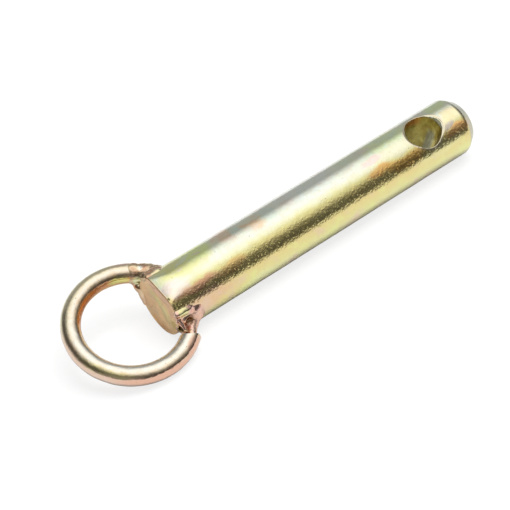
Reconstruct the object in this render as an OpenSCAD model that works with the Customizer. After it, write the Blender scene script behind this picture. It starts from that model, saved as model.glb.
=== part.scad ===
// Top link pin: a turned bar with a cross hole for a linch pin, and a ring
// handle bent from rod and welded to the bar's two flanks.
// The bar runs along X and lies on its side. The ring leans with its near edge
// just clear of the surface that the bar rests on. The origin is on that
// surface, below the middle of the pin.

/* [Bar] */
// Diameter of the bar
bar_d = 19; // [16:0.5:22]
// Length from the sawn end to the chamfered tip
bar_l = 118; // [90:1:180]
// Length of the tip's chamfer along the bar
tip_l = 3.4; // [0.5:0.1:6]
// Depth of the tip's chamfer on the radius
tip_t = 2.5; // [0.5:0.1:5]
// Height of the flat that the crop left on the sawn end, down from the crest
crop_t = 1.7; // [0.5:0.1:3]
// Slope of that flat to the bar's axis
crop_slope = 50; // [20:1:70]
// Loss of radius at the sawn end, which the crop drew in
draw_t = 0.2; // [0.1:0.05:0.5]
// Length of the drawn-in end past the toes of the welds
draw_gap = 0.2; // [0.1:0.1:2]

/* [Linch pin hole] */
// Diameter of the cross hole
hole_d = 11.5; // [8:0.5:13]
// Distance from the tip to the hole's axis
hole_in = 17.5; // [13:0.5:60]
// Depth of the countersink below the bar's crest
sink_t = 1.2; // [0.4:0.1:2]
// Turn of the hole about the bar, from square to the ring
hole_turn = 5; // [-10:0.5:10]

/* [Ring handle] */
// Diameter of the rod
rod_d = 6; // [4:0.5:8]
// Radius of the ring, to the middle of the rod
ring_r = 17.25; // [15:0.25:24]
// Distance that the rod's ends reach past the sawn end
ring_lap = 1.5; // [0.5:0.1:4]
// Gap left between the rod's ends and the bar, filled by the welds
root_gap = 1.4; // [0.6:0.1:2]
// Gap left under the ring's near edge, where the bar bears on the surface
ring_clear = 0.4; // [0.1:0.05:1]

/* [Welds] */
// Reach of the near weld along the bar, from the sawn end to its toe
near_l = 8.6; // [7:0.1:12]
// Angle round the bar that the near weld climbs from the ring's plane
near_up = 26; // [10:1:40]
// Angle round the bar that the near weld falls under the ring's plane
near_down = 40; // [10:1:42]
// Radius of the metal that sagged under the rod from the near weld
near_sag = 1.8; // [0.5:0.1:1.9]
// Distance that the sagged metal ran back under the rod
near_lap = 2; // [0.5:0.5:3]
// Step down from the rod's cut edge to the near weld
near_step = 1.3; // [0.8:0.1:1.8]
// Reach of the far weld along the bar, from the sawn end to its toe
far_l = 8.2; // [7:0.1:12]
// Angle round the bar that the far weld climbs from the ring's plane
far_up = 40; // [10:1:50]
// Lap of the far weld along the rod behind its cut end
far_lap = 1; // [0.4:0.1:2]
// Height over the ring's plane at which the far weld stops
far_low = 1; // [0:0.1:2]
// Height of the far weld over the rod
far_crown = 0.1; // [0.05:0.05:0.6]
// Angle round the sawn end's rim that the far weld's run covers
far_run = 38; // [20:1:60]
// Radius of the welds at their toes
toe_r = 1; // [0.6:0.1:1.6]

/* [Hidden] */
bar_r = bar_d / 2;
hole_r = hole_d / 2;
rod_r = rod_d / 2;
over = 1;
facets = 32;
draw_l = max(near_l, far_l) + draw_gap;
// the ring's mouth, measured at its centre from the bar's axis to a rod end
mouth = asin((bar_r + root_gap) / (ring_r - rod_r));
// the ring's centre lies this far beyond the sawn end
ring_out = ring_r * cos(mouth) - ring_lap;
// the roll that brings the ring's near edge down to the surface beside the bar
roll = asin((bar_r - rod_r - ring_clear) / ring_r);
// the middle of the whole pin, measured from the sawn end
mid_x = (bar_l - ring_out - ring_r - rod_r) / 2;

// A pin modelled on the X axis, with its ring in the XY plane, is laid down.
module laid_down() {
    translate([-mid_x, 0, bar_r]) rotate([roll, 0, 0]) children();
}

module turned_bar() {
    rotate([90, 0, 90]) rotate_extrude($fn = 96) polygon([
        [0, 0],
        [bar_r - draw_t, 0],
        [bar_r, draw_l],
        [bar_r, bar_l - tip_l],
        [bar_r - tip_t, bar_l],
        [0, bar_l]
    ]);
}

// The flat lies square to the ring's plane, across the crest of the sawn end.
module crop_flat() {
    translate([0, 0, bar_r - crop_t]) rotate([0, -crop_slope, 0])
        translate([-bar_r, -bar_r, 0]) cube([4 * bar_r, bar_d, bar_d]);
}

module bar() {
    difference() {
        turned_bar();
        crop_flat();
    }
}

// The drill goes right through, and a countersink breaks each mouth.
module linch_hole() {
    translate([bar_l - hole_in, 0, 0]) rotate([hole_turn, 0, 0]) {
        cylinder(r = hole_r, h = bar_d + 2 * over, center = true, $fn = 64);
        for (up = [0, 1]) mirror([0, 0, up]) translate([0, 0, bar_r - sink_t])
            cylinder(r1 = hole_r, r2 = hole_r + sink_t + over, h = sink_t + over, $fn = 64);
    }
}

module rod_ring() {
    translate([-ring_out, 0, 0]) rotate([0, 0, mouth])
        rotate_extrude(angle = 360 - 2 * mouth, $fn = 96)
            translate([ring_r, 0]) circle(r = rod_r, $fn = 48);
}

// A place on the middle of the rod, this far along it behind its cut end.
function rod_place(back) = let (a = mouth + back / ring_r * 180 / PI)
    [ring_r * cos(a) - ring_out, ring_r * sin(a), 0];

// A place on the bar's +Y flank for a ball of weld that stands half proud,
// turned up from the ring's plane.
function bar_place(x, turn) = let (r = bar_r - toe_r / 2) [x, r * cos(turn), r * sin(turn)];

module ball(place, r) {
    translate(place) sphere(r = r, $fn = facets);
}

// A fillet from a round head at the rod's end to a toe on the bar's +Y flank.
// Its root starts this far from the sawn end, and it spreads up and down.
module fillet(head, head_r, root_x, toe_x, up, down) {
    hull() {
        ball(head, head_r);
        ball(bar_place(toe_x - toe_r, 0), toe_r);
        ball(bar_place(toe_x - toe_r, up * 0.6), toe_r);
        for (x = [root_x, toe_x * 0.6])
            ball(bar_place(x, up), toe_r);
        for (x = [root_x, toe_x * 0.6])
            ball(bar_place(x, -down), toe_r);
    }
}

// Metal that ran from under the rod round the sawn end's rim.
module rim_run() {
    hull() {
        ball(rod_place(far_lap / 2) - [0, 0, rod_r / 2], rod_r / 2);
        ball(bar_place(0, 0), toe_r);
        ball(bar_place(0, -far_run), toe_r / 2);
    }
}

module seated() {
    difference() {
        children();
        bar();
        rod_ring();
    }
}

module pin_shank() {
    color("#b9a75e") laid_down() difference() {
        bar();
        linch_hole();
    }
}

module ring_handle() {
    color("#c3a870") laid_down() rod_ring();
}

// The rod's cut edge stands proud of this weld, which was laid from below.
module weld_near() {
    head = rod_place(0) - [0, near_step / 2, 0];
    color("#c99f86") laid_down() seated() mirror([0, 1, 0]) hull() {
        fillet(head, rod_r - near_step / 2, toe_r, near_l, near_up, near_down);
        ball(head - [0, 0, rod_r], near_sag);
        ball(rod_place(near_lap) - [0, 0, rod_r], near_sag * 0.7);
    }
}

// This weld was laid from above. It laps over the rod, hides the upper part
// of its cut end and stops a little over the ring's plane.
module weld_far() {
    color("#b39a72") laid_down() seated() {
        difference() {
            fillet(rod_place(far_lap), rod_r + far_crown, toe_r / 2, far_l, far_up, 0);
            translate([-bar_d, 0, far_low - bar_d]) cube([3 * bar_d, 2 * bar_d, bar_d]);
        }
        rim_run();
    }
}

pin_shank();
ring_handle();
weld_near();
weld_far();
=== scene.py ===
import math

import bmesh
import bpy
import numpy as np
from mathutils import Matrix


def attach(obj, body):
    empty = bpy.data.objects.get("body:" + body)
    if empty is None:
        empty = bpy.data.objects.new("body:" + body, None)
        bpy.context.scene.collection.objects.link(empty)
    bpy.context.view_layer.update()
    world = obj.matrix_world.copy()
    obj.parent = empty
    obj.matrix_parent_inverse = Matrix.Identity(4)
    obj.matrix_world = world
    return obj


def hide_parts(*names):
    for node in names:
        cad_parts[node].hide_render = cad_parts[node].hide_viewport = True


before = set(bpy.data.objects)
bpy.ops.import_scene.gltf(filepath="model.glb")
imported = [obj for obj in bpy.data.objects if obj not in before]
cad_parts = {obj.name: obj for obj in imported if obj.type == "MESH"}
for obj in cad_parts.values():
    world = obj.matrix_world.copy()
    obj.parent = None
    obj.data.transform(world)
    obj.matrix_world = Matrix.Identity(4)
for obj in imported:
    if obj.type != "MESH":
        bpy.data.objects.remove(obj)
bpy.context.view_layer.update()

# ---------------------------------------------------------------- sizes, in mm
MM = 0.001
TAU = 2 * math.pi

# the bar, from its sawn end at x = 0 to its tip
BAR_R = 9.5
BAR_L = 118.0
TIP_L = 3.4
TIP_T = 2.5
EDGE_R = 0.4

# the sawn end: slightly drawn in, and rolled over on its crest by the shear
DRAW_L = 8.8
DRAW_T = 0.2
CROP_T = 1.7
ROLL_OVER = 8.0

# the linch pin's hole and its countersink
HOLE_R = 5.75
HOLE_X = 100.5
HOLE_TURN = math.radians(5)
SINK_T = 1.2
SINK_Z = BAR_R - SINK_T
HOLE_REACH = 9.0

# the ring: its rod, its centre line, half the angle of its mouth and its place behind the bar;
# its ends stand off the bar's flanks and reach past the sawn end
ROD_R = 3.0
RING_R = 17.25
ROD_GAP = 1.4
ROD_LAP = 1.5
MOUTH = math.asin((BAR_R + ROD_GAP) / (RING_R - ROD_R))
RING_OUT = RING_R * math.cos(MOUTH) - ROD_LAP

# how it lies: rolled on its bar until the ring is just clear of the floor
RING_CLEAR = 0.4
ROLL = math.asin((BAR_R - ROD_R - RING_CLEAR) / RING_R)
MID_X = (BAR_L - RING_OUT - RING_R - ROD_R) / 2

# where the bar's near side is as it lies, in degrees up from the ring's plane
SEEN_TURN = 22.0

# arc in mm for each degree round the bar, the rod and the ring
BAR_ARC = math.radians(BAR_R)
ROD_ARC = math.radians(ROD_R)
RING_ARC = math.radians(RING_R)


# ------------------------------------------------------------------- geometry
def lay(points):
    """Points of the pin's own frame, in mm, laid down in the row frame, in metres."""
    x, y, z = np.asarray(points, float).T
    c, s = math.cos(ROLL), math.sin(ROLL)
    return np.stack([x - MID_X, y * c - z * s, BAR_R + y * s + z * c], 1) * MM


def turned(vector):
    """A direction in the pin's own frame, turned to the row frame."""
    x, y, z = vector
    c, s = math.cos(ROLL), math.sin(ROLL)
    return (x, y * c - z * s, y * s + z * c)


def waves(points, size, seed, count=28):
    """Smooth noise of about unit height, from waves of about this length in mm."""
    rng = np.random.default_rng(seed)
    k = rng.normal(size=(count, 3))
    k *= TAU / size * rng.uniform(0.6, 1.7, (count, 1)) / np.linalg.norm(k, axis=1, keepdims=True)
    phase = rng.uniform(0, TAU, count)
    return np.sin(np.asarray(points) @ k.T + phase).sum(1) * math.sqrt(2 / count)


def smooth(x):
    """A soft step from 0 at 0 to 1 at 1."""
    x = np.clip(x, 0, 1)
    return x * x * (3 - 2 * x)


def smin(a, b, k):
    """The smaller of two distances, blended over k."""
    h = np.clip(0.5 + 0.5 * (b - a) / k, 0, 1)
    return b + (a - b) * h - k * h * (1 - h)


def smax(a, b, k):
    """The larger of two distances, blended over k."""
    return -smin(-a, -b, k)


def make(name, points, faces, material, sharp=None):
    """An object of these pin-frame points, with edges over this angle in degrees kept sharp."""
    mesh = bpy.data.meshes.new(name)
    corners = [tuple(p) for p in lay(points)]
    mesh.from_pydata(corners, [], [tuple(int(i) for i in f) for f in faces])
    mesh.update()
    obj = bpy.data.objects.new(name, mesh)
    bpy.context.scene.collection.objects.link(obj)
    mesh.materials.append(material)
    solid = bmesh.new()
    solid.from_mesh(mesh)
    loose = [v for v in solid.verts if not v.link_faces]
    bmesh.ops.delete(solid, geom=loose, context="VERTS")
    bmesh.ops.recalc_face_normals(solid, faces=solid.faces)
    solid.to_mesh(mesh)
    solid.free()
    mesh.shade_smooth()
    if sharp is not None:
        mesh.set_sharp_from_angle(angle=math.radians(sharp))
    return obj


def grid_faces(rows, cols):
    """Quads between rows of points that each close on themselves."""
    r, c = np.meshgrid(np.arange(rows - 1), np.arange(cols), indexing="ij")
    n = (c + 1) % cols
    corners = [r * cols + c, r * cols + n, (r + 1) * cols + n, (r + 1) * cols + c]
    return np.stack(corners, -1).reshape(-1, 4)


def disc(rim, rings, start, rim_start, flip, relief=None):
    """A closed end: rings of points from the rim to the middle, and their faces."""
    cols = len(rim)
    mid = rim.mean(0)
    pts = [mid + (rim - mid) * (1 - k / rings) for k in range(1, rings)]
    pts = np.concatenate(pts + [mid[None]])
    if relief is not None:
        pts = relief(pts)
    i = np.arange(cols)
    n = (i + 1) % cols
    faces = []
    for k in range(rings - 1):
        lo = rim_start if k == 0 else start + (k - 1) * cols
        hi = start + k * cols
        faces.append(np.stack([lo + i, lo + n, hi + n, hi + i], 1))
    quads = np.concatenate(faces)
    last = start + (rings - 2) * cols
    fan = np.stack([last + i, last + n, np.full(cols, last + cols)], 1)
    if flip:
        quads, fan = quads[:, ::-1], fan[:, ::-1]
    return pts, list(quads) + list(fan)


def net(field, low, high, step):
    """The surface where field is 0, as points and quads, by surface nets."""
    axes = [np.arange(a, b + step, step) for a, b in zip(low, high)]
    grid = np.stack(np.meshgrid(*axes, indexing="ij"), -1)
    n = np.array(grid.shape[:3])
    f = field(grid.reshape(-1, 3)).reshape(n)

    # each cell's point is the mean of the places where its edges cross the surface
    cells = tuple(n - 1)
    total = np.zeros(cells + (3,))
    hits = np.zeros(cells)
    for axis in range(3):
        others = [a for a in range(3) if a != axis]
        for i in (0, 1):
            for j in (0, 1):
                lo = [None] * 3
                hi = [None] * 3
                lo[axis], hi[axis] = slice(0, n[axis] - 1), slice(1, n[axis])
                for o, d in zip(others, (i, j)):
                    lo[o] = hi[o] = slice(d, n[o] - 1 + d)
                a, b = f[tuple(lo)], f[tuple(hi)]
                cross = (a < 0) != (b < 0)
                t = np.where(cross, a / np.where(cross, a - b, 1), 0)[..., None]
                pa, pb = grid[tuple(lo)], grid[tuple(hi)]
                total += np.where(cross[..., None], pa + (pb - pa) * t, 0)
                hits += cross
    live = hits > 0
    index = np.full(cells, -1)
    index[live] = np.arange(live.sum())
    points = total[live] / hits[live][:, None]

    # each edge that crosses the surface gets a quad between the four cells round it
    quads = []
    for axis in range(3):
        o1, o2 = (axis + 1) % 3, (axis + 2) % 3
        lo = [slice(1, m - 1) for m in n]
        hi = list(lo)
        lo[axis], hi[axis] = slice(0, n[axis] - 1), slice(1, n[axis])
        a, b = f[tuple(lo)], f[tuple(hi)]
        where = np.argwhere((a < 0) != (b < 0))
        flip = a[tuple(where.T)] < 0
        at = where.copy()
        at[:, o1] += 1
        at[:, o2] += 1
        corner = []
        for d1, d2 in ((-1, -1), (0, -1), (0, 0), (-1, 0)):
            c = at.copy()
            c[:, o1] += d1
            c[:, o2] += d2
            corner.append(index[tuple(c.T)])
        q = np.stack(corner, 1)
        q[~flip] = q[~flip][:, ::-1]
        quads.append(q)
    quads = np.concatenate(quads)
    quads = quads[(quads >= 0).all(1)]

    # the points move down the field's slope on to the surface
    e = step * 0.2
    for _ in range(2):
        slopes = [field(points + e * v) - field(points - e * v) for v in np.eye(3)]
        g = np.stack(slopes, 1) / (2 * e)
        steep = np.maximum((g * g).sum(1), 0.2)
        move = -(field(points) / steep)[:, None] * g
        points = points + np.clip(move, -step / 2, step / 2)
    return points, quads


# --------------------------------------------------------- distances, in mm
def bar_reach(x, turn):
    """Radius of the bar at this place and this turn up from the ring's plane."""
    r = np.full_like(x, BAR_R)
    r = r - DRAW_T * np.clip(1 - x / DRAW_L, 0, 1)

    # the roll-over of the crest, which runs out a little above the bar
    crest = 0.3
    spare = 0.08
    share = np.clip(1 - x / ROLL_OVER, 0, 1)
    level = BAR_R + spare - (CROP_T + spare) * share ** 2
    crop = level / np.maximum(np.sin(turn), crest)
    soft = 0.8 * np.clip(1 - x / ROLL_OVER, 0.05, 1)
    r = np.where((np.sin(turn) > crest) & (x < ROLL_OVER), smin(r, crop, soft), r)

    # the sawn edge with its nick, then the tip's chamfer and its rounded edge
    sawn_edge = np.clip(1 - x / 0.24, 0, 1)
    r = r - 0.18 * (1 - np.sqrt(1 - sawn_edge * sawn_edge))
    nick = ((x - 0.2) / 0.6) ** 2 + ((turn - 1.12) / 0.05) ** 2
    r = r - 0.25 * smooth(1 - nick)
    tip = BAR_R - TIP_T * (x - (BAR_L - TIP_L)) / TIP_L
    r = smin(r, tip, 0.6)
    end = np.clip((x - BAR_L + EDGE_R) / EDGE_R, 0, 1)
    return r - EDGE_R * (1 - np.sqrt(np.maximum(1 - end * end, 0)))


def bar_field(p):
    """Distance outside the bar near its sawn end."""
    drawn = DRAW_T * np.clip(1 - p[:, 0] / DRAW_L, 0, 1)
    return np.maximum(np.hypot(p[:, 1], p[:, 2]) - BAR_R + drawn, -p[:, 0])


def rod_field(p):
    """Distance outside the ring's rod, which is cut square at both ends."""
    x = p[:, 0] + RING_OUT
    flat = np.hypot(x, p[:, 1])
    tube = np.hypot(flat - RING_R, p[:, 2]) - ROD_R
    angle = np.abs(np.arctan2(p[:, 1], x))
    return np.maximum(tube, (MOUTH - angle) * flat)


def rod_place(back, side):
    """The middle of the rod, this far round the ring from its cut end on this side."""
    a = MOUTH + back / RING_R
    return np.array([RING_R * math.cos(a) - RING_OUT, side * RING_R * math.sin(a), 0.0])


def bar_place(x, turn, side, lift=0.0):
    """A place on the bar's flank, on this side, turned up from the ring's plane."""
    t = math.radians(turn)
    return np.array([x, side * (BAR_R + lift) * math.cos(t), (BAR_R + lift) * math.sin(t)])


def limb(p, a, b, ra, rb):
    """A rod of metal that tapers from one place to another."""
    d = b - a
    h = np.clip((p - a) @ d / (d @ d), 0, 1)
    return np.linalg.norm(p - a - h[:, None] * d, axis=1) - (ra + (rb - ra) * h)


# ------------------------------------------------------------------- shaders
class Nodes:
    """Short names for the nodes of one material, or of the world."""

    def __init__(self, owner, output="ShaderNodeOutputMaterial"):
        self.owner = owner
        owner.use_nodes = True
        self.tree = owner.node_tree
        self.tree.nodes.clear()
        self.out = self.tree.nodes.new(output)

    def put(self, kind, inputs=(), **settings):
        node = self.tree.nodes.new(kind)
        for key, value in settings.items():
            setattr(node, key, value)
        for key, value in dict(inputs).items():
            self.link(value, node.inputs[key])
        return node

    def link(self, value, socket):
        if isinstance(value, bpy.types.NodeSocket):
            self.tree.links.new(value, socket)
        else:
            socket.default_value = value

    def math(self, operation, *values):
        node = self.put("ShaderNodeMath", operation=operation)
        for value, socket in zip(values, node.inputs):
            self.link(value, socket)
        return node.outputs[0]

    def plus(self, a, b):
        return self.math("ADD", a, b)

    def minus(self, a, b):
        return self.math("SUBTRACT", a, b)

    def times(self, a, b):
        return self.math("MULTIPLY", a, b)

    def degrees(self, y, x):
        """The turn of the direction x, y, in degrees."""
        return self.times(self.math("ARCTAN2", y, x), math.degrees(1))

    def vector(self, operation, *values):
        node = self.put("ShaderNodeVectorMath", operation=operation)
        for value, socket in zip(values, node.inputs):
            self.link(value, socket)
        return node.outputs["Value" if operation in ("LENGTH", "DOT_PRODUCT") else "Vector"]

    def mix(self, factor, base, colour):
        """A colour, plain or from other nodes, laid over the base by this factor."""
        node = self.put("ShaderNodeMix", data_type="RGBA")
        self.link(factor, node.inputs[0])
        self.link(base, node.inputs[6])
        self.link(colour + (1.0,) if isinstance(colour, tuple) else colour, node.inputs[7])
        return node.outputs[2]

    def noise(self, place, scale, detail=3.0, rough=0.55):
        inputs = {"Vector": place, "Scale": scale, "Detail": detail, "Roughness": rough}
        return self.put("ShaderNodeTexNoise", inputs).outputs

    def wander(self, place, scale, detail, rough, reach):
        """An uneven shift of places on an unrolled surface, in mm."""
        off = self.vector("SUBTRACT", self.noise(place, scale, detail, rough)[1], (0.5, 0.5, 0.5))
        return self.vector("MULTIPLY", off, reach + (0,))

    def span(self, value, low, high, to_low=0.0, to_high=1.0):
        """A soft step of the value from low to high."""
        node = self.put("ShaderNodeMapRange", interpolation_type="SMOOTHSTEP")
        for key, v in enumerate((value, low, high, to_low, to_high)):
            self.link(v, node.inputs[key])
        return node.outputs[0]

    def ramp(self, factor, stops):
        """Colours, each at its place from 0 to 1, run into each other."""
        node = self.put("ShaderNodeValToRGB", {"Fac": factor})
        elements = node.color_ramp.elements
        while len(elements) < len(stops):
            elements.new(0.5)
        for element, (place, colour) in zip(elements, sorted(stops)):
            element.position = place
            element.color = colour + (1.0,)
        return node.outputs["Color"]

    def split(self, value):
        return self.put("ShaderNodeSeparateXYZ", {"Vector": value}).outputs

    def join(self, x, y, z):
        return self.put("ShaderNodeCombineXYZ", {"X": x, "Y": y, "Z": z}).outputs[0]

    def pin(self):
        """Places in the pin's own frame, in mm."""
        inputs = {
            "Vector": self.put("ShaderNodeTexCoord").outputs["Object"],
            "Location": (MID_X, -BAR_R * math.sin(ROLL), -BAR_R * math.cos(ROLL)),
            "Rotation": (-ROLL, 0, 0),
            "Scale": (1 / MM, 1 / MM, 1 / MM),
        }
        return self.put("ShaderNodeMapping", inputs).outputs[0]

    def finish(self, colour, rough, height):
        """Metal with this tint, gloss and relief in mm."""
        bump = self.put("ShaderNodeBump", {"Strength": 1.0, "Distance": MM, "Height": height})
        shader = self.put("ShaderNodeBsdfPrincipled", {
            "Base Color": colour, "Roughness": rough, "Metallic": 1.0,
            "Normal": bump.outputs[0]})
        self.link(shader.outputs[0], self.out.inputs[0])
        return self.owner


def tint(g, b, r=0.82):
    """A metal tint from its green and blue shares of red."""
    return (r, r * g, r * b)


def turn_ramp(n, turn, stops):
    """Tints, each at its turn in degrees, from -180 to 180."""
    share = n.math("DIVIDE", n.plus(turn, 180.0), 360.0)
    return n.ramp(share, [((place + 180) / 360, colour) for place, colour in stops])


def swayed(n, p, turn, scale, reach):
    """A turn that strays by up to half this reach from place to place."""
    return n.plus(turn, n.times(n.minus(n.noise(p, scale, 3.0)[0], 0.5), reach))


def patch(n, base, flat, centre, size, angle, colour, strength):
    """A stain of this colour on an unrolled surface, in mm, with a soft edge."""
    moved = n.vector("SUBTRACT", flat, (centre[0], centre[1], 0))
    inputs = {"Vector": moved, "Angle": math.radians(-angle)}
    spun = n.put("ShaderNodeVectorRotate", inputs, rotation_type="Z_AXIS").outputs[0]
    scaled = n.vector("MULTIPLY", spun, (1 / size[0], 1 / size[1], 0))
    mask = n.span(n.vector("LENGTH", scaled), 1.0, 0.45, 0.0, strength)
    return n.mix(mask, base, colour)


def relief(n, place, coarse, fine, speckle):
    """Height in mm of a rolled, plated skin with small pits, and the mask of the pits."""
    big = n.times(n.noise(place, 0.7, 2.0, 0.5)[0], coarse)
    mid = n.times(n.noise(place, 1.25, 2.0, 0.5)[0], speckle)
    small = n.times(n.noise(place, 4.6, 2.0, 0.6)[0], fine)
    inputs = {"Vector": place, "Scale": 1.15, "Randomness": 1.0}
    beads = n.put("ShaderNodeTexVoronoi", inputs).outputs[0]
    beads = n.plus(beads, n.times(n.noise(place, 3.1, 2.0, 0.6)[0], 0.35))
    dots = n.times(n.span(beads, 0.54, 0.26), n.times(speckle, 0.26))
    mid = n.plus(n.times(mid, 0.7), dots)
    inputs = {"Vector": place, "Scale": 0.45, "Randomness": 1.0}
    cells = n.put("ShaderNodeTexVoronoi", inputs).outputs
    ragged = n.times(n.noise(place, 5.0, 2.0, 0.6)[0], 0.12)
    pits = n.span(n.plus(cells["Distance"], ragged), 0.08, 0.15, 1.0, 0.0)
    height = n.plus(n.plus(big, mid), small)
    return n.minus(height, n.times(pits, 0.03)), pits


def hole_masks(n, x, y, z):
    """Masks of the linch hole's rim, where a cream highlight is painted, its countersink with its
    bore, and its bore alone.

    With them come the turn round the hole in degrees and the height up it in mm.
    """
    c, s = math.cos(HOLE_TURN), math.sin(HOLE_TURN)
    along = n.minus(x, HOLE_X)
    across = n.plus(n.times(y, c), n.times(z, s))
    up = n.minus(n.times(z, c), n.times(y, s))
    high = n.math("ABSOLUTE", up)
    square = n.times(across, across)
    rho = n.math("SQRT", n.plus(n.times(along, along), square))
    room = n.math("MAXIMUM", n.minus(BAR_R ** 2, square), 0.0)
    depth = n.minus(n.math("SQRT", room), high)
    cone = n.plus(HOLE_R, n.math("MAXIMUM", n.minus(high, SINK_Z), 0.0))
    off = n.minus(rho, cone)
    rim = n.times(n.span(off, 0.80, 0.45), n.span(depth, 0.55, 0.30))
    inner = n.times(n.span(depth, 0.22, 0.42), n.span(off, 0.45, 0.25))
    bore = n.times(inner, n.span(n.minus(rho, HOLE_R), 0.25, 0.08))
    return rim, inner, bore, n.degrees(across, along), up


def bore_tint_and_painted_shade(n, p, azimuth, up):
    """Olive plating in the bore, rust on its far side, a bluish patch beyond the middle, and
    painted shade, near black, on one side of the bore.
    """
    cloud = n.noise(p, 0.5, 3.0, 0.5)[0]
    olive = n.ramp(cloud, [(0.3, (0.58, 0.46, 0.12)), (0.7, (0.84, 0.76, 0.26))])
    wide = n.math("ABSOLUTE", n.minus(azimuth, 84.0))
    rust = n.times(n.span(wide, 42.0, 14.0), n.span(up, 2.5, 5.5))
    base = n.mix(n.times(rust, 0.8), olive, (0.85, 0.38, 0.14))
    wide = n.math("ABSOLUTE", n.minus(azimuth, 4.0))
    blue = n.times(n.span(wide, 22.0, 8.0), n.span(up, 5.0, 1.5))
    base = n.mix(n.times(blue, 0.8), base, (0.42, 0.44, 0.34))
    # painted shade: a near-black patch on the bore's wall at -34 degrees
    wide = n.math("ABSOLUTE", n.minus(azimuth, -34.0))
    return n.mix(n.span(wide, 18.0, 4.0, 0.0, 0.7), base, (0.14, 0.09, 0.03))


# centre (across, up), half sizes, turn, tint, strength
FACE_STAINS = [
    ((0.4, 2.2), (6.2, 2.0), 20, (0.78, 0.70, 0.35), 0.8),
    ((-3.6, -1.0), (4.0, 2.6), 40, (0.76, 0.68, 0.34), 0.7),
    ((0.4, 6.4), (7.0, 1.8), 4, (0.92, 0.62, 0.46), 0.9),
    ((-5.4, 3.6), (2.4, 2.4), 0, (0.88, 0.57, 0.37), 0.8),
    ((-1.0, -7.4), (6.0, 2.2), 0, (0.88, 0.54, 0.27), 0.7),
    ((5.5, -3.0), (2.4, 4.6), 0, (0.87, 0.57, 0.33), 0.7),
    ((-7.4, -0.4), (1.8, 2.6), 0, (0.62, 0.48, 0.18), 0.9),
]


# from and to (across and up, mm), half width and depth of each mark on the sheared face
FACE_MARKS = [
    ((5.4, 5.6), (1.9, 6.4), 0.16, 0.10),
    ((1.9, 6.4), (-3.6, 6.6), 0.16, 0.10),
    ((3.8, 6.0), (0.9, 4.4), 0.14, 0.07),
    ((-0.5, 4.6), (-2.8, 4.9), 0.14, 0.06),
    ((4.3, 3.4), (-3.0, 0.9), 0.60, -0.06),
]
# the grooves among the shear marks, which face_tint darkens as painted shade
GROOVE_SHADE_MARKS = FACE_MARKS[:4]


def face_tint(n, p):
    """Tan sheared steel: a greenish streak, a pinkish band along its top, and painted shade along
    the grooves of its shear marks.
    """
    parts = n.split(p)
    flat = n.join(parts[1], parts[2], 0.0)
    soft = n.vector("ADD", flat, n.wander(p, 0.5, 3.0, 0.6, (2.4, 2.4)))
    ragged = n.vector("ADD", flat, n.wander(p, 1.8, 2.0, 0.6, (0.9, 0.9)))
    base = n.ramp(n.noise(p, 0.4, 4.0, 0.6)[0], [
        (0.30, (0.88, 0.57, 0.31)),
        (0.50, (0.86, 0.61, 0.34)),
        (0.70, (0.84, 0.60, 0.37)),
    ])
    for centre, size, angle, colour, strength in FACE_STAINS:
        base = patch(n, base, soft, centre, size, angle, colour, strength)
    # painted shade along each groove
    for (ya, za), (yb, zb), wide, _ in GROOVE_SHADE_MARKS:
        centre = ((ya + yb) / 2, (za + zb) / 2)
        size = (math.hypot(yb - ya, zb - za) / 2 + 0.3, wide * 1.3)
        angle = math.degrees(math.atan2(zb - za, yb - ya))
        base = patch(n, base, ragged, centre, size, angle, (0.24, 0.17, 0.09), 0.65)
    return base


# centre (mm from the sawn end, degrees up from the near side as it lies), half sizes in mm,
# turn, tint, strength
BAR_STAINS = [
    ((10, 92), (14, 7), 0, tint(1.00, 0.44), 0.9),
    ((17, 98), (8, 5), 8, tint(1.14, 0.52), 0.9),
    ((27, 98), (4.5, 5), 30, tint(0.80, 0.58, 0.85), 0.95),
    ((36, 84), (4.5, 5), 30, tint(0.76, 0.52, 0.85), 0.95),
    ((31, 92), (2.2, 5), 35, tint(1.16, 1.00, 0.66), 0.8),
    ((41, 90), (4, 5), 20, tint(1.14, 1.02, 0.70), 0.8),
    ((56, 92), (16, 6), 0, tint(1.07, 1.00, 0.80), 0.8),
    ((75, 104), (8, 3), 0, tint(1.14, 0.86, 0.74), 0.7),
    ((88, 90), (12, 6), 5, tint(1.16, 0.66, 0.80), 0.8),
    ((88, 61), (10, 3.2), 0, tint(0.98, 0.72), 0.8),
    ((12, 2), (13, 5), 0, tint(0.68, 0.42), 0.9),
    ((9, 37), (11, 1.8), -2, tint(0.52, 0.32, 0.72), 0.85),
    ((3, 56), (6, 3.6), 0, tint(0.86, 0.80, 0.92), 0.8),
    ((22, 34), (7, 2.2), 0, tint(0.66, 0.26), 0.8),
    ((20, -18), (9, 4), 0, tint(0.88, 0.36), 0.7),
    ((30, -24), (10, 3), 0, tint(1.04, 0.54), 0.7),
    ((79, 62), (5, 1.6), 0, tint(0.78, 0.72, 0.88), 0.8),
    ((79, 37), (6, 2.0), 0, tint(0.55, 0.18), 0.85),
    ((88, 30), (12, 2.6), 0, tint(0.60, 0.16), 0.9),
    ((38, 30), (9, 3), 0, tint(0.84, 0.34), 0.7),
    ((58, 24), (10, 4), 0, tint(0.88, 0.38), 0.6),
    ((111, 29), (7.5, 2.8), 8, tint(0.58, 0.22, 1.0), 0.95),
    ((108, 45), (3.4, 1.8), 0, tint(0.86, 0.80, 0.60), 0.8),
    ((111, 63), (7, 3.0), 0, tint(0.88, 0.52, 0.90), 0.85),
    ((110, 98), (6, 3.6), 0, tint(1.18, 0.66, 0.80), 0.85),
    ((103, 14), (12, 2.4), 0, tint(0.96, 0.48), 0.7),
]


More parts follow.
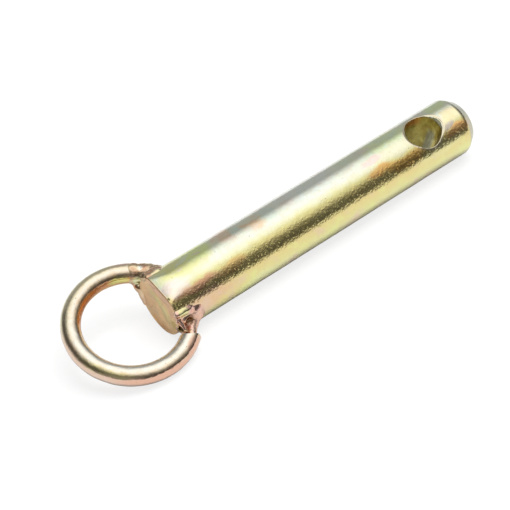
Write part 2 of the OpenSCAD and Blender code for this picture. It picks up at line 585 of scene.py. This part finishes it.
def bar_bands_and_painted_light(n, p, x, turn):
    """The plating's bands of tint round the bar, partly painted light, and the stains along it."""
    flat = n.join(x, n.times(turn, BAR_ARC), 0.0)
    flat = n.vector("ADD", flat, n.wander(p, 0.16, 4.0, 0.6, (9, 5)))
    # painted light in these bands: the near-white tints from 62 to 118 degrees are a painted
    # highlight over the upper side, and the darker tints at -60 and -36 degrees are painted shade,
    # the floor's shadow under the bar as the metal mirrors it
    base = turn_ramp(n, swayed(n, p, turn, 0.22, 16.0), [
        (-150, tint(0.92, 0.60)),
        (-60, tint(0.93, 0.58, 0.66)),
        (-36, tint(0.96, 0.54, 0.72)),
        (-18, tint(0.99, 0.50)),
        (-4, tint(0.92, 0.42)),
        (8, tint(0.84, 0.38)),
        (20, tint(0.84, 0.34)),
        (34, tint(0.84, 0.33)),
        (44, tint(0.93, 0.42)),
        (53, tint(0.99, 0.68)),
        (62, tint(1.00, 0.88)),
        (76, tint(1.06, 0.88)),
        (94, tint(1.04, 0.82)),
        (118, tint(1.02, 0.95)),
        (150, tint(0.98, 0.80)),
    ])
    for (along, up), size, angle, colour, strength in BAR_STAINS:
        base = patch(n, base, flat, (along, up * BAR_ARC), size, angle, colour, strength)
    return base


def drift(n, base, where, noise, strength, over, under):
    """One tint where the noise is high and another where it is low, within this mask."""
    base = n.mix(n.times(where, n.span(noise, 0.52, 0.66, 0.0, strength)), base, over)
    return n.mix(n.times(where, n.span(noise, 0.46, 0.34, 0.0, strength)), base, under)


def bar_plating_and_painted_light(n, p, x, turn, cloud):
    """The bands, with their painted highlight and painted shade, with pink and green drifts low on
    the bar, a pale veil on top and fine clouds.
    """
    base = bar_bands_and_painted_light(n, p, x, turn)
    low = n.span(turn, 18.0, 4.0)
    pink = n.noise(p, 0.13, 4.0, 0.6)[0]
    base = drift(n, base, low, pink, 0.55, tint(0.74, 0.60), tint(1.06, 0.42))
    high = n.span(turn, 64.0, 78.0)
    veil = n.noise(n.vector("MULTIPLY", p, (0.45, 1.0, 1.0)), 0.30, 4.0, 0.6)[0]
    base = drift(n, base, high, veil, 0.60, tint(0.86, 0.76, 0.84), tint(1.16, 0.98, 0.74))
    base = n.mix(n.span(cloud, 0.38, 0.75, 0.0, 0.22), base, tint(0.80, 0.40))
    fine = n.noise(p, 3.4, 4.0, 0.7)[0]
    return n.mix(n.span(fine, 0.55, 0.8, 0.0, 0.25), base, tint(0.98, 0.80))


def bar_material():
    """Yellow zinc on the bar, its bare tip, its sheared face and its hole, with painted
    highlights, a painted reflection and painted shade in its tints.
    """
    n = Nodes(bpy.data.materials.new("plated_bar"))
    p = n.pin()
    x, y, z = n.split(p)
    turn = n.minus(n.degrees(z, n.times(y, -1.0)), SEEN_TURN)
    cloud = n.noise(p, 0.7, 5.0, 0.65)[0]
    lumps = n.noise(p, 1.5, 2.0, 0.5)[0]
    tip = n.span(x, BAR_L - TIP_L - 0.6, BAR_L - TIP_L + 0.8, 0.0, 0.8)
    face = n.span(x, 0.42, 0.30)
    rim, inner, bore, azimuth, up = hole_masks(n, x, y, z)

    away = n.math("ABSOLUTE", n.minus(turn, 24.0))
    speckle = n.times(n.span(away, 10.0, 22.0, 0.150, 0.024), n.minus(1.0, tip))
    height, pits = relief(n, p, 0.030, 0.003, speckle)
    height = n.plus(height, n.times(face, n.times(n.noise(p, 1.7, 4.0, 0.6)[0], 0.06)))
    sunk = n.minus(inner, n.times(bore, 0.85))
    height = n.plus(height, n.times(sunk, n.times(lumps, 0.22)))

    base = bar_plating_and_painted_light(n, p, x, turn, cloud)
    base = n.mix(n.times(pits, 0.55), base, tint(0.70, 0.40, 0.22))
    base = n.mix(tip, base, (0.46, 0.46, 0.39))
    base = n.mix(face, base, face_tint(n, p))
    # painted highlight: a cream tint along the hole's rounded rim
    base = n.mix(n.times(rim, 0.85), base, (0.80, 0.72, 0.52))
    # painted reflection: the countersink's tint, olive to near white, stands for the bright studio
    # it mirrors near the mouth
    sink = n.ramp(lumps, [(0.36, (0.80, 0.78, 0.38)), (0.56, (1.0, 1.0, 0.80))])
    base = n.mix(inner, base, sink)
    base = n.mix(bore, base, bore_tint_and_painted_shade(n, p, azimuth, up))

    rough = n.span(cloud, 0.3, 0.7, 0.14, 0.22)
    for mask, more in ((face, 0.22), (tip, 0.12), (inner, 0.18)):
        rough = n.plus(rough, n.times(mask, more))
    return n.finish(base, rough, height)


# centre (turn round the ring from its far end, turn up round the rod), half sizes in mm, tint,
# strength
RING_STAINS = [
    ((52, 168), (11, 2.4), tint(0.42, 0.18), 0.85),
    ((112, 165), (5.0, 2.2), tint(0.98, 0.34), 0.9),
    ((-60, 168), (14, 1.8), tint(0.78, 0.28), 0.8),
    ((-112, 165), (5, 2.0), tint(0.62, 0.26), 0.9),
    ((-80, 20), (16, 1.8), tint(0.58, 0.42), 0.8),
    ((-118, 40), (4, 2.4), tint(0.60, 0.46), 0.8),
    ((-30, 55), (10, 1.4), tint(0.92, 0.40), 0.6),
    ((118, 45), (4, 2.0), tint(0.72, 0.62), 0.7),
]


def ring_tint_and_painted_light(n, theta, phi):
    """The rod's bands of tint, greyer on its near side and warmer towards its far end, near white
    over its top as a painted highlight.
    """
    # painted highlight: the near-white tints over the rod's top, at 85 to 115 degrees on the near
    # side and at 100 on the far side
    near = turn_ramp(n, theta, [
        (-170, tint(0.84, 0.50)),
        (-60, tint(0.82, 0.68)),
        (-10, tint(0.80, 0.68)),
        (25, tint(0.76, 0.60)),
        (55, tint(0.78, 0.52)),
        (85, tint(0.98, 0.86)),
        (115, tint(0.96, 0.84)),
        (140, tint(0.76, 0.46)),
        (165, tint(0.74, 0.34)),
        (179, tint(0.80, 0.42)),
    ])
    far = turn_ramp(n, theta, [
        (-170, tint(0.62, 0.30)),
        (-60, tint(0.88, 0.62)),
        (20, tint(1.00, 0.76)),
        (45, tint(0.94, 0.66)),
        (75, tint(0.90, 0.62)),
        (100, tint(0.93, 0.78)),
        (125, tint(0.78, 0.52)),
        (150, tint(0.52, 0.28)),
        (172, tint(0.46, 0.22)),
    ])
    base = n.mix(n.span(phi, 5.0, 45.0), near, far)
    flat = n.join(n.times(phi, RING_ARC), n.times(theta, ROD_ARC), 0.0)
    for (turn, up), size, colour, strength in RING_STAINS:
        centre = (turn * RING_ARC, up * ROD_ARC)
        base = patch(n, base, flat, centre, size, 0, colour, strength)
    return base


def ring_material():
    """The same zinc on the ring's rod, thinner and pinker, with a painted highlight along its top.
    """
    n = Nodes(bpy.data.materials.new("plated_rod"))
    p = n.pin()
    x, y, z = n.split(p)
    out = n.plus(x, RING_OUT)
    radial = n.math("SQRT", n.plus(n.times(out, out), n.times(y, y)))
    theta = swayed(n, p, n.degrees(z, n.minus(radial, RING_R)), 0.35, 40.0)
    phi = n.degrees(y, n.times(out, -1.0))
    base = ring_tint_and_painted_light(n, theta, phi)
    cloud = n.noise(p, 0.8, 5.0, 0.65)[0]
    base = n.mix(n.span(cloud, 0.4, 0.75, 0.0, 0.3), base, tint(0.68, 0.42))
    fine = n.noise(p, 3.0, 4.0, 0.7)[0]
    base = n.mix(n.span(fine, 0.56, 0.8, 0.0, 0.25), base, tint(0.96, 0.80))
    height, pits = relief(n, p, 0.020, 0.003, 0.050)
    base = n.mix(n.times(pits, 0.55), base, tint(0.60, 0.35, 0.22))
    rough = n.span(cloud, 0.3, 0.7, 0.12, 0.19)
    return n.finish(base, rough, height)


# centre in the pin's frame, reach in mm, tint, strength; four are painted light, as marked
WELD_STAINS_AND_PAINTED_LIGHT = [
    ((5.8, -10.4, 0.4), 4.2, tint(0.66, 0.52, 0.88), 0.9),
    # painted shade: dark brown in the near bead's hollow
    ((3.6, -9.6, 2.2), 2.0, tint(0.55, 0.25, 0.26), 0.9),
    ((2.4, -8.3, 5.2), 2.3, tint(0.98, 0.48), 0.9),
    ((0.9, -11.4, 1.2), 1.3, tint(1.00, 0.60), 0.8),
    # painted shade: near black in the gap under the near bead's lip
    ((0.2, -9.8, 0.0), 1.6, tint(0.85, 0.22, 0.14), 0.9),
    # painted reflection: the rod's dark reflected band carried on dark over the far bead's crevice
    ((0.4, 10.9, 2.6), 1.3, tint(0.62, 0.32, 0.30), 0.8),
    # painted highlight: the near-white crescent on top of the far bead's lump
    ((2.4, 12.4, 2.9), 1.1, tint(0.98, 0.84, 0.95), 0.9),
    ((0.3, 10.6, 0.2), 1.9, tint(1.05, 0.66), 0.9),
    ((-0.2, 8.6, -4.0), 2.8, tint(0.74, 0.52, 0.80), 0.7),
]
NEAR_LAP = (5.6, -11.0, 0.4)


def weld_material():
    """Copper-brown weld metal, paler on the far side, duller where the near bead laps the bar,
    with painted shade in its hollows and crevice and a painted highlight on the far lump.
    """
    n = Nodes(bpy.data.materials.new("plated_weld"))
    p = n.pin()
    cloud = n.noise(p, 0.45, 3.0, 0.55)[0]
    near = n.ramp(cloud, [
        (0.32, tint(0.62, 0.36)),
        (0.46, tint(0.60, 0.50)),
        (0.58, tint(0.68, 0.56)),
        (0.70, tint(0.82, 0.50)),
    ])
    far = n.ramp(cloud, [
        (0.32, tint(0.58, 0.36, 0.62)),
        (0.46, tint(0.70, 0.46, 0.70)),
        (0.58, tint(0.84, 0.52, 0.76)),
        (0.70, tint(0.96, 0.56, 0.76)),
    ])
    base = n.mix(n.span(n.split(p)[1], -2.0, 2.0), near, far)
    for centre, reach, colour, strength in WELD_STAINS_AND_PAINTED_LIGHT:
        away = n.vector("LENGTH", n.vector("SUBTRACT", p, centre))
        base = n.mix(n.span(away, reach, reach * 0.45, 0.0, strength), base, colour)
    fine = n.noise(p, 2.6, 3.0, 0.6)[0]
    base = n.mix(n.span(fine, 0.52, 0.72, 0.0, 0.35), base, tint(0.66, 0.40, 0.5))
    rough = n.span(n.noise(p, 1.2, 3.0)[0], 0.3, 0.7, 0.14, 0.24)
    away = n.vector("LENGTH", n.vector("SUBTRACT", p, NEAR_LAP))
    rough = n.plus(rough, n.span(away, 4.2, 2.0, 0.0, 0.20))
    height = n.times(n.noise(p, 1.1, 2.0, 0.5)[0], 0.07)
    height = n.plus(height, n.times(n.noise(p, 3.2, 2.0, 0.6)[0], 0.012))
    return n.finish(base, rough, height)


# -------------------------------------------------------------------- pieces
# columns of points round the bar, and how many of them a mouth takes up to each side
BAR_COLS = 256
MOUTH_COLS = 34

# the ring's rod: how far its near end is melted back, in mm
MELTED = 1.5

# the welds: how deep in the bar and the rod a bead's fillet runs out, how deep the bead goes,
# and the box that the far one lies in
FILLET_DEPTH = 0.30
WELD_DEPTH = 0.25
WELD_LOW = (-2.0, 5.0, -8.5)
WELD_HIGH = (10.5, 15.5, 9.5)
NET_STEP = 0.15


def bar_skin(points):
    """Height in mm of the bar's rolled skin, always a little inside its true size."""
    return np.minimum(waves(points, 14, 3) * 0.012 + waves(points, 4.5, 4) * 0.006, 0.03) - 0.04


def lift_skin(points, share=1.0):
    """Points moved out from the bar's axis by this share of its skin's height."""
    k = 1 + bar_skin(points) * share / BAR_R
    return points * np.stack([np.ones_like(k), k, k], 1)


def mouth_radius(az):
    """Where the countersink's cone meets the bar's surface, by turn round the hole."""
    rho = np.full_like(az, HOLE_R + SINK_T)
    for _ in range(60):
        z = np.sqrt(BAR_R ** 2 - (rho * np.sin(az)) ** 2)
        rho = 0.5 * rho + 0.5 * (HOLE_R + np.maximum(z - SINK_Z, 0))
    circle = np.stack([3 * np.cos(az), 3 * np.sin(az), 0 * az], 1)
    return rho + 0.05 * waves(circle, 3.0, 61)


def hole_tube(loop):
    """Rows of points from each place on the loop over the mouth and down to the bar's middle.

    A row has its places along and across the bar, their heights up the hole, and how fully it
    follows the bar's skin.
    """
    az = np.arctan2(loop[:, 1], loop[:, 0])
    turn = np.stack([np.cos(az), np.sin(az)], 1)
    rho = mouth_radius(az)
    far = rho + EDGE_R
    start = turn * far[:, None]
    rows = []
    for u in np.linspace(0, 1, 11)[1:]:
        flat = loop * (1 - u) + start * u
        rows.append((flat, np.sqrt(BAR_R ** 2 - flat[:, 1] ** 2), 1.0))
    soft = EDGE_R * 0.8
    top_z = np.sqrt(BAR_R ** 2 - start[:, 1] ** 2)
    corner_z = np.sqrt(BAR_R ** 2 - (rho * np.sin(az)) ** 2)
    low_z = corner_z - soft
    low_rho = rho - np.clip(corner_z - SINK_Z, 0, soft)
    for u in (0.17, 0.34, 0.5, 0.66, 0.83, 1.0):
        a, b, c = (1 - u) ** 2, 2 * u * (1 - u), u ** 2
        flat = turn * (a * far + b * rho + c * low_rho)[:, None]
        rows.append((flat, a * top_z + b * corner_z + c * low_z, 1 - u))
    sink = np.minimum(low_z, SINK_Z) - 0.12
    for u in (0.3, 0.6, 0.85, 1.0):
        wall = low_rho * (1 - u) + HOLE_R * u
        rows.append((turn * wall[:, None], low_z * (1 - u) + sink * u, 0.0))
    for u in np.linspace(0, 1, 11)[1:]:
        rows.append((turn * HOLE_R, sink * (1 - u), 0.0))
    return rows


def hole_place(flat, z):
    """Places along, across and up the hole, in the pin's frame."""
    c, s = math.cos(HOLE_TURN), math.sin(HOLE_TURN)
    across = flat[:, 1]
    return np.stack([flat[:, 0] + HOLE_X, across * c - z * s, across * s + z * c], 1)


def drilled(place):
    """Places in the bore, moved a little in or out by the drill's marks."""
    axis = np.array([0, -math.sin(HOLE_TURN), math.cos(HOLE_TURN)])
    off = place - [HOLE_X, 0, 0]
    off = off - np.outer(off @ axis, axis)
    marks = 0.03 * waves(place, 2.6, 62) + 0.015 * waves(place, 0.9, 63)
    return place + off / HOLE_R * marks[:, None]


def bar_rows():
    """Where the rows of points lie along the bar, and which two rows bound the hole's mouths."""
    first, last = HOLE_X - HOLE_REACH, HOLE_X + HOLE_REACH
    chamfer = 113.5
    xs = np.concatenate([
        [0, 0.02, 0.06, 0.12, 0.18, 0.25],
        np.arange(0.35, 2.0, 0.1),
        np.linspace(2.1, first, 185)[:-1],
        np.linspace(first, last, 31),
        np.linspace(last, chamfer, 10)[1:-1],
        np.arange(chamfer, BAR_L - EDGE_R - 0.05, 0.15),
        BAR_L - EDGE_R * (1 - np.sin(np.linspace(0, math.pi / 2, 7))),
    ])
    return xs, int(np.argmin(abs(xs - first))), int(np.argmin(abs(xs - last)))


def bar_grid(xs, first, last):
    """The bar's skin as points and quads, with a gap for each mouth of the hole."""
    turn = math.radians(90) - HOLE_TURN + np.arange(BAR_COLS) * TAU / BAR_COLS
    x, t = (v.ravel() for v in np.meshgrid(xs, turn, indexing="ij"))
    r = bar_reach(x, np.where(t > math.pi, t - TAU, t))
    pts = lift_skin(np.stack([x, -r * np.cos(t), r * np.sin(t)], 1))
    quads = grid_faces(len(xs), BAR_COLS)
    row = np.repeat(np.arange(len(xs) - 1), BAR_COLS)
    column = np.tile(np.arange(BAR_COLS), len(xs) - 1)
    half, quarter = BAR_COLS // 2, BAR_COLS // 4
    step = (column + quarter) % half - quarter
    inside = (row >= first) & (row < last) & (step >= -MOUTH_COLS) & (step < MOUTH_COLS)
    return pts, quads[~inside]


def bar_hole(xs, first, last, start):
    """The hole's points, numbered from start, and the quads that join them to both gaps."""
    loop = [(first, k) for k in range(-MOUTH_COLS, MOUTH_COLS)]
    loop += [(i, MOUTH_COLS) for i in range(first, last)]
    loop += [(last, k) for k in range(MOUTH_COLS, -MOUTH_COLS, -1)]
    loop += [(i, -MOUTH_COLS) for i in range(last, first, -1)]
    top = np.array([i * BAR_COLS + k % BAR_COLS for i, k in loop])
    bottom = np.array([i * BAR_COLS + (BAR_COLS // 2 - k) % BAR_COLS for i, k in loop])
    flat_loop = [(xs[i] - HOLE_X, BAR_R * math.sin(k * TAU / BAR_COLS)) for i, k in loop]
    rows = hole_tube(np.array(flat_loop))
    rows += [(flat, -z, share) for flat, z, share in rows[-2::-1]]
    places = []
    for flat, z, share in rows:
        place = lift_skin(hole_place(flat, z), share)
        places.append(place if share else drilled(place))
    n = len(loop)
    index = [top] + [start + i * n + np.arange(n) for i in range(len(rows))] + [bottom]
    joins = zip(index[:-1], index[1:])
    quads = [np.stack([a, np.roll(a, -1), np.roll(b, -1), b], 1) for a, b in joins]
    return np.concatenate(places), np.concatenate(quads)


def sheared(q):
    """The sawn end's points, sunk to its rough face except at its rim."""
    edge = np.clip((BAR_R - DRAW_T - np.hypot(q[:, 1], q[:, 2])) / 0.9, 0, 1)
    q = q.copy()
    q[:, 0] += edge * face_relief(q)
    return q


def bar_piece(material):
    """The bar with its drilled hole, its sheared end and its chamfered tip."""
    xs, first, last = bar_rows()
    skin, quads = bar_grid(xs, first, last)
    tube, tube_quads = bar_hole(xs, first, last, len(skin))
    pts = np.concatenate([skin, tube])
    rim = len(skin) - BAR_COLS
    a, fa = disc(pts[:BAR_COLS], 44, len(pts), 0, False, sheared)
    b, fb = disc(pts[rim:len(skin)], 8, len(pts) + len(a), rim, True)
    faces = list(quads) + list(tube_quads) + fa + fb
    return make("pin_shank_plated", np.concatenate([pts, a, b]), faces, material, 35)


def face_relief(q):
    """How deep the sheared face lies behind its flat, in mm."""
    y, z = q[:, 1], q[:, 2]
    deep = 0.10 + 0.07 * waves(q, 6.0, 11) + 0.02 * waves(q, 1.8, 12)
    for (ya, za), (yb, zb), wide, height in FACE_MARKS:
        length = math.hypot(yb - ya, zb - za)
        u = ((y - ya) * (yb - ya) + (z - za) * (zb - za)) / length
        v = ((y - ya) * (za - zb) + (z - za) * (yb - ya)) / length
        shape = smooth((u + 0.3) / 0.6) * smooth((length + 0.3 - u) / 0.6)
        deep = deep + height * shape * np.exp(-(v / wide) ** 2)
    spatter = smooth(1 - np.hypot((y + 7.0) / 2.2, (z + 0.4) / 3.0))
    deep = deep - spatter * (0.22 * np.abs(waves(q, 1.3, 14)) - 0.05)
    return np.maximum(deep, 0.0)


def ring_piece(material):
    """The bent rod, its near end melted back on its inner side."""
    rows, cols = 420, 64
    turn = np.arange(cols) * TAU / cols
    share, t = (v.ravel() for v in np.meshgrid(np.linspace(0, 1, rows), turn, indexing="ij"))
    melted = MELTED * smooth(0.5 + 0.7 * np.cos(t - math.radians(165)))
    phi = MOUTH + share * (TAU - 2 * MOUTH - melted / RING_R)
    centre = np.stack([RING_R * np.cos(phi) - RING_OUT, RING_R * np.sin(phi), 0 * phi], 1)
    out = np.stack([np.cos(t) * np.cos(phi), np.cos(t) * np.sin(phi), np.sin(t)], 1)
    pts = centre + ROD_R * out
    skin = waves(pts, 7, 21) * 0.018 + waves(pts, 2.4, 22) * 0.006
    pts = pts + out * (skin - 0.05)[:, None]
    faces = list(grid_faces(rows, cols))
    a, fa = disc(pts[:cols], 8, len(pts), 0, True)
    b, fb = disc(pts[-cols:], 8, len(pts) + len(a), len(pts) - cols, False)
    points = np.concatenate([pts, a, b])
    return make("ring_handle_plated", points, faces + fa + fb, material, 40)


def weld_field(p, limbs, fillet, seed):
    """Distance outside a bead: its limbs, run into the bar and the rod it lies on."""
    blob = None
    for a, b, ra, rb in limbs:
        d = limb(p, a, b, ra, rb)
        blob = d if blob is None else smin(blob, d, 0.9)
    blob = blob + 0.05 * waves(p, 3.4, seed) + 0.015 * waves(p, 1.3, seed + 1)
    bar = bar_field(p)
    rod = rod_field(p)
    skin = smin(smin(blob, bar + FILLET_DEPTH, fillet), rod + FILLET_DEPTH, 0.7)
    for centre, radius in CAVITIES:
        skin = smax(skin, radius - np.linalg.norm(p - centre, axis=1), 0.3)
    outside = np.maximum(-(bar + WELD_DEPTH), -(rod + WELD_DEPTH))
    return np.maximum(np.maximum(skin, outside), blob - fillet)


def weld_piece(name, side, limbs, material, fillet, seed):
    """A bead on the near side, -1, or on the far side, 1."""
    low, high = np.array(WELD_LOW), np.array(WELD_HIGH)
    if side < 0:
        low[1], high[1] = -high[1], -low[1]
    pts, faces = net(lambda p: weld_field(p, limbs, fillet, seed), low, high, NET_STEP)
    return make(name, pts, faces, material)


# from, to and the radius at each, of the runs of metal that make up each bead
NEAR_LIMBS = [
    (np.array([1.9, -13.0, -0.3]), bar_place(4.4, 0, -1, 0.8), 1.5, 1.4),
    (bar_place(4.4, 0, -1, 0.8), bar_place(6.8, 2, -1, -0.9), 1.4, 1.8),
    (bar_place(5.4, 10, -1, -0.8), bar_place(7.0, 16, -1, -1.0), 1.3, 1.3),
    (bar_place(0.5, 31, -1, -0.1), bar_place(4.6, 29, -1, -0.4), 0.5, 0.55),
    (bar_place(2.4, 12, -1, -0.6), bar_place(4.6, 13, -1, -0.6), 1.05, 1.0),
    (bar_place(0.5, 20, -1, 0.2), np.array([0.7, -11.7, 1.5]), 0.55, 0.5),
    (np.array([1.6, -11.6, -1.0]), bar_place(1.5, -6, -1, -0.2), 1.3, 1.1),
    (np.array([2.6, -12.0, -0.8]), bar_place(3.6, -2, -1, 0.0), 1.2, 1.2),
    (rod_place(0, -1) + [0, 0.65, -2.0], bar_place(5.0, -34, -1, -0.4), 1.9, 1.0),
]
FAR_LIMBS = [
    (rod_place(0.8, 1), np.array([3.8, 11.2, 0.3]), 3.05, 2.75),
    (np.array([3.8, 11.2, 0.3]), bar_place(6.0, 12, 1, -0.6), 2.7, 2.3),
    (bar_place(1.1, 32, 1, -0.1), bar_place(5.2, 34, 1, -0.5), 1.35, 1.3),
    (bar_place(0.8, 43, 1, -0.2), bar_place(4.4, 45, 1, -0.2), 0.6, 0.55),
    (rod_place(0.4, 1) - [0.5, 0.4, 1.2], bar_place(0.4, -14, 1, 0.6), 1.8, 1.1),
    (bar_place(0.4, -14, 1, 0.6), bar_place(0.4, -44, 1, 0.1), 1.1, 0.6),
]

# middle and radius of the hollows in the near bead
CAVITIES = [
    (bar_place(3.3, 13, -1, 1.25), 1.1),
    (np.array([-0.3, -10.6, 1.0]), 1.2),
]


# --------------------------------------------------------------------- stage
def floor_piece():
    """A white table, which the metal mirrors as darker towards the camera's side."""
    n = Nodes(bpy.data.materials.new("floor_white"))
    path = n.put("ShaderNodeLightPath").outputs
    plain = n.put("ShaderNodeBsdfDiffuse", {"Color": (0.86, 0.86, 0.86, 1.0)}).outputs[0]
    white = n.put("ShaderNodeEmission", {"Color": (1, 1, 1, 1), "Strength": 1.0}).outputs[0]
    seen = n.put("ShaderNodeMixShader", {0: 0.78, 1: plain, 2: white}).outputs[0]
    place = n.split(n.put("ShaderNodeTexCoord").outputs["Object"])
    level = n.span(place[1], -0.095, -0.045, 0.10, 0.62)
    table = n.put("ShaderNodeBsdfDiffuse", {"Color": n.join(level, level, level)}).outputs[0]
    metal = n.put("ShaderNodeMixShader", {0: path["Is Glossy Ray"], 1: plain, 2: table}).outputs[0]
    both = n.put("ShaderNodeMixShader", {0: path["Is Camera Ray"], 1: metal, 2: seen}).outputs[0]
    n.link(both, n.out.inputs[0])
    mesh = bpy.data.meshes.new("floor")
    half = 3.0
    corners = [(-half, -half, 0), (half, -half, 0), (half, half, 0), (-half, half, 0)]
    mesh.from_pydata(corners, [], [(0, 1, 2, 3)])
    obj = bpy.data.objects.new("floor", mesh)
    bpy.context.scene.collection.objects.link(obj)
    mesh.materials.append(n.owner)


# the studio that the metal mirrors: its upward direction, and its brightness by height along it;
# the ramp holds the brightness as a share of the top one
LIGHT_UP = turned((0.232, 0.21816, 0.94764))
LIGHT_TOP = 1.5
LIGHT_STEPS = [
    (-1.0, 0.70), (-0.25, 0.60), (-0.12, 0.42), (-0.02, 0.26), (0.08, 0.13), (0.20, 0.09),
    (0.34, 0.09), (0.46, 0.13), (0.58, 0.25), (0.70, 0.48), (0.80, 0.80), (0.88, 1.08),
    (0.95, 1.25), (1.0, 1.3),
]
SOFT_LIGHT = 0.55


def set_world():
    """White to the camera, an even soft light on the floor, and the studio in the metal."""
    world = bpy.data.worlds.new("studio")
    bpy.context.scene.world = world
    n = Nodes(world, "ShaderNodeOutputWorld")
    path = n.put("ShaderNodeLightPath").outputs
    ray = n.put("ShaderNodeTexCoord").outputs["Generated"]
    high = n.vector("DOT_PRODUCT", ray, LIGHT_UP)
    level = n.times(n.plus(high, 1.0), 0.5)
    steps = [((place + 1) / 2, (v / LIGHT_TOP,) * 3) for place, v in LIGHT_STEPS]
    band = n.times(n.split(n.ramp(level, steps))[0], LIGHT_TOP)
    back = n.span(n.vector("DOT_PRODUCT", ray, (0.45, 0.88, 0.15)), 0.45, 0.95, 0.0, 0.42)
    side = n.span(n.vector("DOT_PRODUCT", ray, (-0.68, -0.70, 0.2)), 0.75, 1.0, 0.0, 0.25)
    band = n.math("MAXIMUM", band, n.math("MAXIMUM", back, side))
    soft = n.plus(n.times(path["Is Glossy Ray"], n.minus(band, SOFT_LIGHT)), SOFT_LIGHT)
    strength = n.plus(n.times(path["Is Camera Ray"], n.minus(1.0, soft)), soft)
    inputs = {"Color": (1, 1, 1, 1), "Strength": strength}
    n.link(n.put("ShaderNodeBackground", inputs).outputs[0], n.out.inputs[0])


def set_lamp():
    """A wide lamp overhead, which the metal doesn't mirror."""
    data = bpy.data.lights.new("overhead", "AREA")
    data.shape = "DISK"
    data.size = 0.9
    data.energy = 12.0
    lamp = bpy.data.objects.new("overhead", data)
    bpy.context.scene.collection.objects.link(lamp)
    lamp.location = (0.22, -0.12, 0.95)
    lamp.rotation_euler = (math.radians(8), math.radians(13), 0)
    lamp.visible_glossy = False


# the photograph's camera in the pin's own frame: its right, up and back directions and its place
CAMERA_AXES = [
    (0.77811, -0.62453, 0.06712),
    (0.48193, 0.66211, 0.57389),
    (-0.40285, -0.41421, 0.81618),
]
CAMERA_SPOT = (-151.455, -192.494, 375.017)
CAMERA_LENS = 110.27


def set_camera():
    data = bpy.data.cameras.new("camera")
    data.sensor_width = 36.0
    data.lens = CAMERA_LENS
    camera = bpy.data.objects.new("camera", data)
    bpy.context.scene.collection.objects.link(camera)
    columns = [turned(axis) for axis in CAMERA_AXES] + [lay([CAMERA_SPOT])[0]]
    camera.matrix_world = Matrix([*zip(*columns), (0, 0, 0, 1)])
    bpy.context.scene.camera = camera


bpy.context.scene.view_settings.view_transform = "Standard"
bead = weld_material()
pieces = [
    (bar_piece(bar_material()), "pin_shank", "plated_bar"),
    (ring_piece(ring_material()), "ring_handle", "plated_rod"),
    (weld_piece("weld_near_plated", -1, NEAR_LIMBS, bead, 2.2, 31), "weld_near", "plated_weld"),
    (weld_piece("weld_far_plated", 1, FAR_LIMBS, bead, 1.2, 41), "weld_far", "plated_weld"),
]
for piece, node, slot in pieces:
    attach(piece, "root")
    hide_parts(node)
floor_piece()
set_world()
set_lamp()
set_camera()
